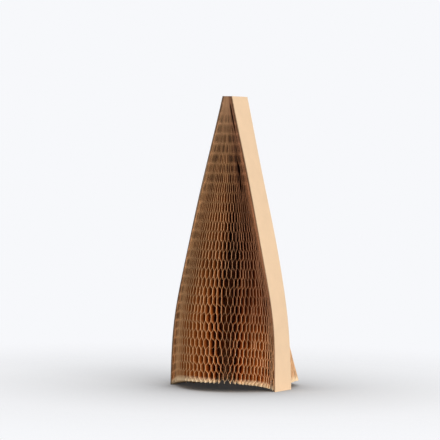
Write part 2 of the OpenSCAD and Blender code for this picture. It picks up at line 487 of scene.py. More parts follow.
def seam_group():
    """Node group for the place of a ribbon's seam in a row, and the ribbon's side of that seam."""
    tree = new_tree("Ribbon Seam", (
        ("Float", (
            "Ribbon", "Row", "Ribbons", "Unopened", "Closed Step", "Open Step", "Tightness", "Crowding",
            "Unevenness", "Drift")),
        ("Int", ("Seed",)),
    ), ("Float", ("Place", "Side")))
    add = partial(add_node, tree)
    given = add("NodeGroupInput").outputs
    ribbon, row = given["Ribbon"], given["Row"]

    # A ribbon is glued to its right seam in every second row, and the two outer ones never leave the covers
    total = add(MATH, {0: ribbon, 1: row}, "ADD")
    odd = add(MATH, {0: total, 1: 2.0}, "FLOORED_MODULO")
    even = add(MATH, {0: 1.0, 1: odd}, "SUBTRACT")
    first = add(MATH, {0: ribbon, 1: 0.5}, "LESS_THAN")
    last_start = add(MATH, {0: given["Ribbons"], 1: 1.5}, "SUBTRACT")
    before_last = add(MATH, {0: ribbon, 1: last_start}, "LESS_THAN")
    right = add(MATH, {0: even, 1: first}, "MAXIMUM")
    right = add(MATH, {0: right, 1: before_last}, "MINIMUM")

    # Place of the seam across the panel: the unopened ones lie close together by the covers
    seam = add(MATH, {0: ribbon, 1: right}, "ADD")
    seam = add(MATH, {0: seam, 1: 1.0}, "SUBTRACT")
    steps = add(MATH, {0: given["Ribbons"], 1: 2.0}, "SUBTRACT")
    open_end = add(MATH, {0: steps, 1: given["Unopened"]}, "SUBTRACT")
    opened = add("ShaderNodeClamp", {0: seam, 1: given["Unopened"], 2: open_end})
    closed_steps = add(MATH, {0: seam, 1: opened}, "SUBTRACT")
    closed_steps = add(MATH, {0: closed_steps, 1: given["Unopened"]}, "ADD")
    open_steps = add(MATH, {0: opened, 1: given["Unopened"]}, "SUBTRACT")
    all_open = add(MATH, {0: open_end, 1: given["Unopened"]}, "SUBTRACT")
    from_middle = add(MATH, {0: open_steps, 1: all_open}, "DIVIDE")
    from_middle = add(MATH, {0: from_middle, 1: 2.0, 2: -1.0}, "MULTIPLY_ADD")
    place = add(MATH, {0: closed_steps, 1: given["Closed Step"]}, "MULTIPLY")
    place = add(MATH, {0: open_steps, 1: given["Open Step"], 2: place}, "MULTIPLY_ADD")

    # The cells next to the unopened ribbons are only half open, more so on the right
    tighter = add(MATH, {0: from_middle, 1: 3.0}, "POWER")
    tighter = add(MATH, {0: from_middle, 1: tighter}, "SUBTRACT")
    tighter = add(MATH, {0: tighter, 1: given["Tightness"]}, "MULTIPLY")
    crowded = add(MATH, {0: from_middle, 1: from_middle}, "MULTIPLY")
    crowded = add(MATH, {0: 1.0, 1: crowded}, "SUBTRACT")
    tighter = add(MATH, {0: crowded, 1: given["Crowding"], 2: tighter}, "MULTIPLY_ADD")
    tighter = add(MATH, {0: tighter, 1: all_open}, "MULTIPLY")
    give = add(MATH, {0: given["Open Step"], 1: given["Closed Step"]}, "SUBTRACT")
    place = add(MATH, {0: tighter, 1: give, 2: place}, "MULTIPLY_ADD")

    # Scatter that both ribbons at a seam share, and a drift that neighbouring seams share, none at the covers
    number = add(MATH, {0: row, 1: ROW_NUMBERS, 2: seam}, "MULTIPLY_ADD")
    chance = add(
        "FunctionNodeRandomValue", {2: -1.0, 3: 1.0, "ID": number, "Seed": given["Seed"]}, data_type="FLOAT")
    spot = add("ShaderNodeCombineXYZ", {"X": seam, "Y": row, "Z": given["Seed"]})
    spot = add("ShaderNodeVectorMath", {0: spot, 1: DRIFT_STEPS}, "MULTIPLY")
    wave = add("ShaderNodeTexNoise", {"Vector": spot, "Scale": 1.0, "Detail": 1.0})
    wave = add(MATH, {0: wave, 1: DRIFT_SWING, 2: -DRIFT_SWING / 2}, "MULTIPLY_ADD")
    wave = add(MATH, {0: wave, 1: given["Drift"]}, "MULTIPLY")
    wave = add(MATH, {0: chance, 1: given["Unevenness"], 2: wave}, "MULTIPLY_ADD")
    near_cover = add(MATH, {0: from_middle, 1: DRIFT_FALL}, "POWER")
    room = add(MATH, {0: 1.0, 1: near_cover}, "SUBTRACT")
    step = add(MATH, {0: give, 1: room}, "MULTIPLY")
    place = add(MATH, {0: wave, 1: step, 2: place}, "MULTIPLY_ADD")
    add("NodeGroupOutput", {"Place": place, "Side": right})
    return tree


def upright_ribbons(add, given, steps):
    """Straight ribbons, one for each real one, numbered from the left. Only their wide faces are smooth."""
    station_count = add(MATH, {0: steps, 1: 1.0}, "ADD")
    blank = add("GeometryNodeMeshCube", {
        "Size": (1.0, 1.0, 1.0), "Vertices X": 2, "Vertices Y": DEPTH_STEPS + 1, "Vertices Z": station_count})
    starts = add(
        "GeometryNodeMeshLine", {"Count": given["Ribbons"], "Offset": (0.0, 0.0, 0.0)}, mode="OFFSET")
    numbered = add("GeometryNodeStoreNamedAttribute", {
        "Geometry": starts, "Name": "ribbon", "Value": add("GeometryNodeInputIndex")},
        data_type="FLOAT", domain="POINT")
    ribbons = add("GeometryNodeInstanceOnPoints", {"Points": numbered, "Instance": blank})
    ribbons = add("GeometryNodeRealizeInstances", {"Geometry": ribbons})
    normal = add("ShaderNodeSeparateXYZ", {0: add("GeometryNodeInputNormal")})
    wide = add(MATH, {0: normal.outputs["X"]}, "ABSOLUTE")
    wide = add("FunctionNodeCompare", {0: wide, 1: 0.5}, "GREATER_THAN", data_type="FLOAT")
    ribbons = add("GeometryNodeSetShadeSmooth", {"Geometry": ribbons, "Shade Smooth": False})
    return add("GeometryNodeSetShadeSmooth", {"Geometry": ribbons, "Selection": wide, "Shade Smooth": True})


def row_levels(add, given, upright, steps):
    """Row of a point of an upright ribbon, its level in rows, and how far it has left its seam there."""
    station = add(MATH, {0: upright, 1: 0.5}, "ADD")
    station = add(MATH, {0: station, 1: steps}, "MULTIPLY")
    station = add(MATH, {0: station}, "ROUND")
    row = add(MATH, {0: station, 1: ROW_STATIONS}, "DIVIDE")
    row = add(MATH, {0: row, 1: ROW_NUDGE}, "ADD")
    row = add(MATH, {0: row}, "FLOOR")
    in_row = add(MATH, {0: row, 1: -ROW_STATIONS, 2: station}, "MULTIPLY_ADD")
    past_glue = add(MATH, {0: in_row, 1: 0.5}, "GREATER_THAN")
    along_row = add(MAP_RANGE, dict(zip(RANGE, (in_row, 1.0, ROW_STATIONS, given["Glue Share"], 1.0))))
    along_row = add(MATH, {0: along_row, 1: past_glue}, "MULTIPLY")
    leave = add(
        MAP_RANGE, dict(zip(RANGE, (in_row, 1.0, ROW_STATIONS, 0.0, 1.0))), interpolation_type="SMOOTHSTEP")

    # The cut along the rim takes a part off the lowest row
    level = add(MATH, {0: row, 1: along_row}, "ADD")
    return row, add(MATH, {0: level, 1: given["Rim Cut"]}, "MAXIMUM"), leave


def height_share(add, given, level):
    """Share of the height at a level. The rows grow taller towards the top."""
    last_row = add(MATH, {0: given["Rows"], 1: 1.0}, "SUBTRACT")
    top_level = add(MATH, {0: last_row, 1: given["Glue Share"]}, "ADD")
    share = add(MAP_RANGE, dict(zip(RANGE, (level, given["Rim Cut"], top_level, 0.0, 1.0))))
    left_over = add(MATH, {0: 1.0, 1: share}, "SUBTRACT")
    squeeze = add(MATH, {0: given["Row Growth"], 1: left_over}, "MULTIPLY")
    squeeze = add(MATH, {0: 1.0, 1: squeeze}, "SUBTRACT")
    share = add(MATH, {0: share, 1: squeeze}, "MULTIPLY")
    return add("ShaderNodeClamp", {0: share, 1: SHARE_MIN, 2: SHARE_MAX})


def seam_steps(add, given, length):
    """A ribbon's thickness in a section of that length, and the steps between closed and open seams."""
    gaps = add(MATH, {0: given["Ribbons"], 1: 2.0}, "SUBTRACT")
    tightest = add(MATH, {0: length, 1: gaps}, "DIVIDE")
    closed = add(MATH, {0: given["Paper Thickness"], 1: CLOSED_PITCH}, "MULTIPLY")
    closed = add(MATH, {0: closed, 1: tightest}, "MINIMUM")
    paper = add(MATH, {0: closed, 1: CLOSED_PITCH}, "DIVIDE")
    closed_step = add(MATH, {0: closed, 1: length}, "DIVIDE")
    all_closed = add(MATH, {0: given["Unopened Ribbons"], 1: 2.0}, "MULTIPLY")
    left_over = add(MATH, {0: all_closed, 1: closed_step}, "MULTIPLY")
    left_over = add(MATH, {0: 1.0, 1: left_over}, "SUBTRACT")
    all_open = add(MATH, {0: gaps, 1: all_closed}, "SUBTRACT")
    return paper, closed_step, add(MATH, {0: left_over, 1: all_open}, "DIVIDE")


def slit_push(add, given, number, share, length):
    """How far a ribbon is pushed aside by the slits near the right cover, as a share of the section."""
    widths = add("ShaderNodeFloatCurve", {"Factor": 1.0, "Value": share})
    curve = widths.mapping.curves[0]
    curve.points[0].location, curve.points[1].location = (0.0, 0.0), (1.0, 0.0)
    for height, width in SLIT_WIDTHS:
        curve.points.new(height, width)
    widths.mapping.update()
    last_open = add(MATH, {0: given["Ribbons"], 1: given["Unopened Ribbons"]}, "SUBTRACT")
    slit_in = add(MAP_RANGE, dict(zip(RANGE, (share, *SLIT_CHANGE, LOWER_SLIT_IN, UPPER_SLIT_IN))))
    slit_after = add(MATH, {0: last_open, 1: slit_in}, "SUBTRACT")
    from_slit = add(MATH, {0: number, 1: slit_after}, "SUBTRACT")
    beyond = add(MATH, {0: from_slit}, "SIGN")
    fading = add(MATH, {0: from_slit}, "ABSOLUTE")
    fading = add(MAP_RANGE, dict(zip(RANGE, (fading, 0.0, SLIT_FADE, 0.5, 0.0))))
    push = add(MATH, {0: widths, 1: given["Split"]}, "MULTIPLY")
    push = add(MATH, {0: push, 1: length}, "DIVIDE")
    push = add(MATH, {0: push, 1: fading}, "MULTIPLY")
    return add(MATH, {0: push, 1: beyond}, "MULTIPLY")


def free_bow(add, given, number, row, leave, inward):
    """Bow of the free stretch between two seams, none at the glue."""
    stay = add(MATH, {0: 1.0, 1: leave}, "SUBTRACT")
    bow = add(MATH, {0: leave, 1: stay}, "MULTIPLY")
    spot = add("ShaderNodeCombineXYZ", {"X": number, "Y": row, "Z": inward})
    noise = add("ShaderNodeTexNoise", {"Vector": spot, "Scale": BOW_NOISE, "Detail": 0.0})
    noise = add(MATH, {0: noise, 1: BOW_SWING, 2: -BOW_SWING / 2}, "MULTIPLY_ADD")
    bow = add(MATH, {0: bow, 1: noise}, "MULTIPLY")
    return add(MATH, {0: bow, 1: given["Crinkle"]}, "MULTIPLY")


def depth_reach(add, given, number, row, outward, free):
    """How far a point lies from the guide surface, with the cut edges a little in and out."""
    spot = add("ShaderNodeCombineXYZ", {"X": number, "Y": row, "Z": outward})
    noise = add("ShaderNodeTexNoise", {"Vector": spot, "Scale": EDGE_NOISE, "Detail": 0.0})
    noise = add(MATH, {0: noise, 1: 1.0}, "SUBTRACT")
    ragged = add(MATH, {0: noise, 1: given["Raggedness"]}, "MULTIPLY")
    ragged = add(MATH, {0: ragged, 1: free}, "MULTIPLY")
    ragged = add(MATH, {0: ragged, 1: given["Panel Depth"]}, "ADD")
    return add(MATH, {0: outward, 1: ragged}, "MULTIPLY")


def leaning_shift(add, given, place, outward, reach, free):
    """Lean and bow of the ribbons through their depth, most at the panel's middle and none at the covers."""
    lean = add(MATH, {0: given["Lean"]}, "TANGENT")
    cup = add(MATH, {0: outward, 1: outward}, "MULTIPLY")
    cup = add(MATH, {0: cup, 1: -4.0, 2: 1.0}, "MULTIPLY_ADD")
    cup = add(MATH, {0: cup, 1: given["Cup"]}, "MULTIPLY")
    lean = add(MATH, {0: lean, 1: reach, 2: cup}, "MULTIPLY_ADD")
    lean = add(MATH, {0: lean, 1: free}, "MULTIPLY")
    other_side = add(MATH, {0: 1.0, 1: place}, "SUBTRACT")
    inside = add(MATH, {0: place, 1: other_side}, "MULTIPLY")
    inside = add(MATH, {0: inside, 1: 4.0}, "MULTIPLY")
    return add(MATH, {0: lean, 1: inside}, "MULTIPLY")


def painted_bunch_tone(add, given, number, row, leave, place, spread):
    """Painted light and shade of close ribbons: bunches at the glue get painted light, the gaps between them
    painted shade.
    """
    swapped = add(MATH, {0: leave, 1: 0.5}, "GREATER_THAN")
    bunch_row = add(MATH, {0: row, 1: swapped}, "ADD")
    spot = add("ShaderNodeCombineXYZ", {"X": number, "Y": bunch_row, "Z": given["Facing"]})
    spot = add("ShaderNodeVectorMath", {0: spot, 1: BUNCH_STEPS}, "MULTIPLY")
    bunch = add("ShaderNodeTexNoise", {"Vector": spot, "Scale": 1.0, "Detail": 0.0})
    bunch = add(MAP_RANGE, dict(zip(RANGE, (bunch, 0.42, 0.58, 0.1, 1.0))))
    at_glue = add(MATH, {0: leave, 1: -2.0, 2: 1.0}, "MULTIPLY_ADD")
    at_glue = add(MATH, {0: at_glue}, "ABSOLUTE")
    bunch = add(MATH, {0: bunch, 1: at_glue}, "MULTIPLY")
    bunch = add(MATH, {0: bunch, 1: BUNCH_SHADE, 2: BUNCH_LIGHT}, "MULTIPLY_ADD")

    # Close ribbons are those of the upper rows, short of the pinch itself, and those by the left cover
    pinched = add(MAP_RANGE, dict(zip(RANGE, (spread, 0.19, 0.3, 1.0, 0.0))))
    gathering = add(MAP_RANGE, dict(zip(RANGE, (spread, 0.065, 0.09, 0.0, 1.0))))
    pinched = add(MATH, {0: pinched, 1: gathering}, "MULTIPLY")
    cover_reach = add(MAP_RANGE, dict(zip(RANGE, (spread, 0.2, 0.9, 0.32, 0.12))))
    by_cover = add(MAP_RANGE, dict(zip(RANGE, (place, 0.03, cover_reach, 0.9, 0.0))))
    pinched = add(MATH, {0: pinched, 1: by_cover}, "MAXIMUM")
    return add(MATH, {0: bunch, 1: pinched, 2: 1.0}, "MULTIPLY_ADD")


def side_tones(add, given, place, share, rim_rows):
    """How much painted shade darkens the front on its right half over the hem, and how much painted light
    pales the back's hem.
    """
    browner, over_hem = (
        add(MAP_RANGE, dict(zip(RANGE, (value, low, high, 0.0, 1.0))), interpolation_type="SMOOTHSTEP")
        for value, low, high in ((place, 0.52, 0.8), (share, 0.1, 0.3))
    )
    # Painted shade on the front's right half, strongest above the hem
    at_front = add(MATH, {0: given["Facing"], 1: 0.0}, "LESS_THAN")
    browner = add(MATH, {0: browner, 1: over_hem}, "MULTIPLY")
    browner = add(MATH, {0: browner, 1: at_front}, "MULTIPLY")
    # Painted light pales the back's hem over its lowest rows
    paler = add(MAP_RANGE, dict(zip(RANGE, (rim_rows, 0.5, 4.5, 0.65, 0.0))))
    at_back = add(MATH, {0: 1.0, 1: at_front}, "SUBTRACT")
    return browner, add(MATH, {0: paler, 1: at_back}, "MULTIPLY")


def unopened_mark(add, given, number):
    """1 on the unopened ribbons beside both covers."""
    half_count = add(MATH, {0: given["Ribbons"], 1: 1.0}, "SUBTRACT")
    half_count = add(MATH, {0: half_count, 1: 0.5}, "MULTIPLY")
    off_middle = add(MATH, {0: number, 1: half_count}, "SUBTRACT")
    off_middle = add(MATH, {0: off_middle}, "ABSOLUTE")
    last_free = add(MATH, {0: half_count, 1: given["Unopened Ribbons"]}, "SUBTRACT")
    return add(MATH, {0: off_middle, 1: last_free}, "GREATER_THAN")


def comb_tree(seam_tree):
    """Node tree that stands ribbons side by side along a panel's guide surface and glues them row by row."""
    tree = new_tree("Honeycomb Panel", (
        ("Geometry", ("Guide",)),
        ("Int", ("Ribbons", "Unopened Ribbons", "Rows", "Seed")),
        ("Float", (
            "Paper Thickness", "Panel Depth", "Glue Share", "Rim Cut", "Row Growth", "Tightness", "Crowding",
            "Unevenness", "Drift", "Crinkle", "Raggedness", "Split", "Lean", "Cup", "Facing")),
        ("Material", ("Material",)),
    ), ("Geometry", ("Panel",)))
    add = partial(add_node, tree)
    given = add("NodeGroupInput").outputs

    # Where a point is on its upright ribbon: outward is half a depth on the panel's own side
    steps = add(MATH, {0: given["Rows"], 1: 1.0}, "SUBTRACT")
    steps = add(MATH, {0: steps, 1: ROW_STATIONS, 2: 1.0}, "MULTIPLY_ADD")
    ribbons = upright_ribbons(add, given, steps)
    spot = add("ShaderNodeSeparateXYZ", {0: add("GeometryNodeInputPosition")}).outputs
    number = add("GeometryNodeInputNamedAttribute", {"Name": "ribbon"}, data_type="FLOAT")
    row, level, leave = row_levels(add, given, spot["Z"], steps)
    share = height_share(add, given, level)
    outward = add(MATH, {0: spot["Y"], 1: given["Facing"]}, "MULTIPLY")

    # Steps between seams here: closed ones leave each ribbon its thickness, and open ones share the rest
    guide_place, guide_form = (
        add("GeometryNodeInputNamedAttribute", {"Name": name}, data_type="FLOAT_VECTOR")
        for name in ("panel_place", "panel_form")
    )
    middle = add("ShaderNodeCombineXYZ", {"X": 0.5, "Y": share})
    length = add("GeometryNodeSampleUVSurface", {
        "Mesh": given["Guide"], "Value": guide_form, "UV Map": guide_place, "Sample UV": middle},
        data_type="FLOAT_VECTOR")
    length = add("ShaderNodeSeparateXYZ", {0: length}).outputs["Y"]
    paper, closed_step, open_step = seam_steps(add, given, length)
    free = add(MATH, {0: closed_step, 1: open_step}, "DIVIDE")
    free = add(MATH, {0: 1.0, 1: free}, "SUBTRACT")

    # Place between the seam of this row and that of the next one, pushed aside by the slits
    tightness = add(MATH, {0: share, 1: given["Tightness"]}, "MULTIPLY")
    next_row = add(MATH, {0: row, 1: 1.0}, "ADD")
    seams = [add("GeometryNodeGroup", node_tree=seam_tree) for _ in range(2)]
    for seam, its_row in zip(seams, (row, next_row)):
        for key, value in (
            ("Ribbon", number.outputs[0]), ("Row", its_row.outputs[0]), ("Ribbons", given["Ribbons"]),
            ("Unopened", given["Unopened Ribbons"]), ("Closed Step", closed_step.outputs[0]),
            ("Open Step", open_step.outputs[0]), ("Tightness", tightness.outputs[0]),
            *((key, given[key]) for key in ("Crowding", "Unevenness", "Drift", "Seed")),
        ):
            tree.links.new(value, seam.inputs[key])
    place, side_share = (
        add("ShaderNodeMix", {
            0: leave, 2: seams[0].outputs[key], 3: seams[1].outputs[key]}, data_type="FLOAT")
        for key in ("Place", "Side")
    )
    place = add(MATH, {0: place, 1: slit_push(add, given, number, share, length)}, "ADD")
    place = add("ShaderNodeClamp", {0: place, 1: SHARE_MIN, 2: SHARE_MAX})

    # Point and turn of the guide surface there
    at = add("ShaderNodeCombineXYZ", {"X": place, "Y": share})
    seat, turn = (
        add("GeometryNodeSampleUVSurface", {
            "Mesh": given["Guide"], "Value": value, "UV Map": guide_place, "Sample UV": at},
            data_type="FLOAT_VECTOR")
        for value in (add("GeometryNodeInputPosition"), guide_form)
    )
    turn = add("ShaderNodeSeparateXYZ", {0: turn}).outputs["X"]
    cosine = add(MATH, {0: turn}, "COSINE")
    sine = add(MATH, {0: turn}, "SINE")
    facing_cosine = add(MATH, {0: cosine, 1: given["Facing"]}, "MULTIPLY")
    facing_sine = add(MATH, {0: sine, 1: given["Facing"]}, "MULTIPLY")
    back_sine = add(MATH, {0: facing_sine, 1: -1.0}, "MULTIPLY")
    along = add("ShaderNodeCombineXYZ", {"X": cosine, "Y": back_sine})
    through = add("ShaderNodeCombineXYZ", {"X": sine, "Y": facing_cosine})

    # Shift along the section: the side of the seam, the ribbon's thickness, its bow and its lean
    shift = add(MATH, {0: 0.5, 1: side_share}, "SUBTRACT")
    shift = add(MATH, {0: spot["X"], 1: RIBBON_FILL, 2: shift}, "MULTIPLY_ADD")
    shift = add(MATH, {0: shift, 1: paper}, "MULTIPLY")
    bow = free_bow(add, given, number, row, leave, spot["Y"])
    shift = add(MATH, {0: bow, 1: free, 2: shift}, "MULTIPLY_ADD")
    reach = depth_reach(add, given, number, row, outward, free)
    shift = add(MATH, {0: leaning_shift(add, given, place, outward, reach, free), 1: shift}, "ADD")

    # What the paper's material reads, in the order of the marks' names
    depth_share = add(MATH, {0: 0.5, 1: outward}, "SUBTRACT")
    rim_rows = add(MATH, {0: level, 1: given["Rim Cut"]}, "SUBTRACT")
    tone = add(
        "FunctionNodeRandomValue", {2: 0.0, 3: 1.0, "ID": number, "Seed": given["Seed"]}, data_type="FLOAT")
    stacked = unopened_mark(add, given, number)
    spread = add(MATH, {0: open_step, 1: length}, "MULTIPLY")
    spread = add(MATH, {0: spread, 1: FULL_SPREAD}, "DIVIDE")
    browner, paler = side_tones(add, given, place, share, rim_rows)
    gather_tone = painted_bunch_tone(add, given, number, row, leave, place, spread)
    marks = (depth_share, rim_rows, tone, stacked, spread, browner, paler, gather_tone)
    for name, value in zip(PAPER_MARKS, marks):
        ribbons = add("GeometryNodeStoreNamedAttribute", {
            "Geometry": ribbons, "Name": name, "Value": value}, data_type="FLOAT", domain="POINT")

    # Bend the ribbons to their places
    along = add("ShaderNodeVectorMath", {0: along, "Scale": shift}, "SCALE")
    through = add("ShaderNodeVectorMath", {0: through, "Scale": reach}, "SCALE")
    position = add("ShaderNodeVectorMath", {0: seat, 1: along}, "ADD")
    position = add("ShaderNodeVectorMath", {0: position, 1: through}, "ADD")
    panel = add("GeometryNodeSetPosition", {"Geometry": ribbons, "Position": position})
    panel = add("GeometryNodeRealizeInstances", {"Geometry": panel})
    panel = add("GeometryNodeSetMaterial", {"Geometry": panel, "Material": given["Material"]})
    add("NodeGroupOutput", {"Panel": panel})
    return tree


def finished_piece(name, mesh, tree=None, inputs=None):
    """A piece at the origin. Where it has a node tree, the tree's result becomes a plain mesh."""
    piece = bpy.data.objects.new(name, mesh)
    bpy.context.scene.collection.objects.link(piece)
    if tree is None:
        return piece
    modifier = piece.modifiers.new("Tree", "NODES")
    modifier.node_group = tree
    sockets = {item.name: item.identifier for item in tree.interface.items_tree if item.in_out == "INPUT"}
    for key, value in inputs.items():
        modifier[sockets[key]] = value
    bpy.context.view_layer.update()
    graph = bpy.context.evaluated_depsgraph_get()
    result = bpy.data.meshes.new_from_object(
        piece.evaluated_get(graph), preserve_all_data_layers=True, depsgraph=graph)
    piece.modifiers.remove(modifier)
    piece.data = result
    result.name = name
    bpy.data.meshes.remove(mesh)
    return piece


def blank_material(name):
    """A new material, its shader and the function that adds nodes to it."""
    material = bpy.data.materials.new(name)
    material.use_nodes = True
    tree = material.node_tree
    return material, tree.nodes["Principled BSDF"], partial(add_node, tree)


def pulp_pattern(add, clouds_scale, clouds_detail, fibre_scale, fibre_detail):
    """Long fibres up the sleeve, and the same fibres together with soft clouds of the pulp."""
    position = add("ShaderNodeTexCoord").outputs["Object"]
    clouds = add("ShaderNodeTexNoise", {"Vector": position, "Scale": clouds_scale, "Detail": clouds_detail})
    stretched = add("ShaderNodeMapping", {"Vector": position, "Scale": fibre_scale})
    fibres = add("ShaderNodeTexNoise", {"Vector": stretched, "Scale": 1.0, "Detail": fibre_detail})
    return fibres, add(MATH, {0: clouds, 1: fibres}, "ADD")


def finish_paper(add, shader, colour, value, bump, roughness, specular):
    """Gives a paper's shader its colour with the value's light and dark, its bump and its sheen."""
    colour = add("ShaderNodeHueSaturation", {"Color": colour, "Value": value})
    links = shader.id_data.links
    links.new(colour.outputs[0], shader.inputs["Base Color"])
    links.new(bump.outputs[0], shader.inputs["Normal"])
    shader.inputs["Roughness"].default_value = roughness
    shader.inputs["Specular IOR Level"].default_value = specular


def kraft_ribbon_paper(colours):
    """Unbleached kraft paper, calendered and slit into ribbons.

    Matt brown walls with a long soft fibre, paler and rougher where the knife has opened the edge, with
    painted light just behind the edge and painted shade deeper in the cells, and painted light along the cut
    rim, where light comes in from below.
    """
    material, shader, add = blank_material("kraft_ribbon_paper")
    marks = {name: add("ShaderNodeAttribute", attribute_name=name).outputs["Fac"] for name in PAPER_MARKS}

    # Colour by the share of the depth behind the cut edge: painted light just behind it, then painted shade
    # and an orange painted bounce light deeper in. Ribbons that stand close together get painted shade, as
    # they would shade each other
    depth_stops = (
        (0.0, colours.cut_edge), (0.002, colours.cut_edge), (0.004, colours.wall), (0.012, colours.wall),
        (0.045, colours.shade), (0.22, colours.deep),
    )
    ramps = []
    for value, stops in ((marks["depth_share"], depth_stops), (marks["spread"], SPREAD_LIGHT_AND_SHADE)):
        ramps.append(add("ShaderNodeValToRGB", {0: value}))
        elements = ramps[-1].color_ramp.elements
        for element, (place, tint) in zip(elements, (stops[0], stops[-1])):
            element.position, element.color = place, tint
        for place, tint in stops[1:-1]:
            elements.new(place).color = tint

    # Painted shade darkens the walls behind their edges where the cells are narrow, and painted light from
    # below makes them paler in the lowest row
    behind = add(MATH, {0: marks["depth_share"], 1: EDGE_SHARE}, "GREATER_THAN")
    narrow = add(MAP_RANGE, dict(zip(RANGE, (marks["spread"], 0.5, 0.9, 0.68, 0.08))))
    narrow = add(MATH, {0: narrow, 1: behind}, "MULTIPLY")
    rim_painted_light = add(MAP_RANGE, dict(zip(RANGE, (marks["rim_rows"], 0.2, 0.75, 1.0, 0.0))))
    stacked = add(MATH, {0: marks["stacked"], 1: STACK_SHADE_COVER}, "MULTIPLY")
    colour = ramps[0]
    # Each mix below paints light or shade: the spread's painted light and shade, painted shade in narrow
    # cells and on the front's right half, painted light on the back's hem and along the rim, and painted
    # shade on the unopened ribbons
    for share, tint, blend in (
        (1.0, ramps[1], "MULTIPLY"), (narrow, NARROW_CELL_SHADE, "MIX"), (marks["browner"], RIGHT_SHADE_TINT, "MULTIPLY"),
        (marks["paler"], tuple(colours.hem), "MIX"), (rim_painted_light, tuple(colours.rim), "MIX"),
        (stacked, tuple(colours.stack), "MIX"),
    ):
        colour = add("ShaderNodeMix", {0: share, 6: colour, 7: tint}, data_type="RGBA", blend_type=blend)
        colour = colour.outputs[2]

    # Pulp clouds about 6 mm across, and fibres about 0.4 mm wide and 3 mm long along the ribbon
    fibres, mottle = pulp_pattern(
        add, clouds_scale=160.0, clouds_detail=3.0, fibre_scale=(2500.0, 2500.0, 330.0), fibre_detail=2.0)
    mottle = add(MATH, {0: marks["paper_tone"], 1: 2.0, 2: mottle}, "MULTIPLY_ADD")
    value = add(MAP_RANGE, dict(zip(RANGE, (mottle, 0.6, 3.4, 0.76, 1.24))))
    value = add(MATH, {0: value, 1: marks["gather_tone"]}, "MULTIPLY")
    bump = add("ShaderNodeBump", {"Height": fibres, "Distance": 0.04 * MM, "Strength": 0.6})
    finish_paper(add, shader, colour, value, bump, roughness=0.88, specular=0.25)
    return material


def pale_kraft_card(colours):
    """Pale kraft liner card, machine glazed.

    Smooth and matt to satin, an even warm cream with faint cloudy formation and scattered darker fibres.
    """
    material, shader, add = blank_material("pale_kraft_card")
    cut = add("ShaderNodeAttribute", attribute_name="cut_edge").outputs["Fac"]

    # Formation clouds about 12 mm across, fibres about 0.5 mm by 4 mm
    fibres, mottle = pulp_pattern(
        add, clouds_scale=80.0, clouds_detail=4.0, fibre_scale=(2000.0, 2000.0, 250.0), fibre_detail=3.0)
    value = add(MAP_RANGE, dict(zip(RANGE, (mottle, 0.6, 1.4, 0.95, 1.05))))
    flecks = add(MAP_RANGE, dict(zip(RANGE, (fibres, 0.66, 0.74, 0.0, 0.35))))

    # The left strip's cut edges are darker with painted shade
    left_edge_shade = add(MAP_RANGE, dict(zip(RANGE, (cut, 1.0, 2.0, 0.0, 0.6))))
    colour = tuple(colours.cover)
    for share, tint in ((flecks, colours.fleck), (cut, colours.cover_edge), (left_edge_shade, colours.left_edge_shade)):
        colour = add("ShaderNodeMix", {0: share, 6: colour, 7: tuple(tint)}, data_type="RGBA").outputs[2]
    bump = add("ShaderNodeBump", {"Height": mottle, "Distance": 0.06 * MM, "Strength": 0.5})
    finish_paper(add, shader, colour, value, bump, roughness=0.7, specular=0.35)
    return material


def make_comb(scene, side, name, node, seed):
    """One honeycomb panel in place of its solid. Only the back ribbons lean, only the front cells crowd."""
    form, comb = scene.sleeve_form, scene.sleeve_comb
    tree = bpy.data.node_groups.get("Honeycomb Panel") or comb_tree(seam_group())
    paper = bpy.data.materials.get("kraft_ribbon_paper") or kraft_ribbon_paper(scene.sleeve_colours)
    at_front = side < 0
    piece = finished_piece(name, guide_mesh(form, side), tree, {
        "Ribbons": comb.ribbons,
        "Unopened Ribbons": comb.unopened,
        "Rows": comb.rows,
        "Paper Thickness": comb.paper_thickness,
        "Panel Depth": form.panel_depth,
        "Glue Share": comb.glue_share,
        "Rim Cut": comb.rim_cut,
        "Row Growth": comb.row_growth,
        "Tightness": comb.tightness,
        "Crowding": comb.crowding if at_front else 0.0,
        "Unevenness": comb.unevenness,
        "Drift": comb.drift,
        "Crinkle": comb.crinkle,
        "Raggedness": comb.raggedness,
        "Split": comb.split if at_front else BACK_SLIT_SHARE * comb.split,
        "Lean": 0.0 if at_front else comb.back_lean,
        "Cup": 0.0 if at_front else comb.back_cup,
        "Facing": float(side),
        "Seed": seed,
        "Material": paper,
    })
    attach(piece, "root")
    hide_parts(node)
    return piece


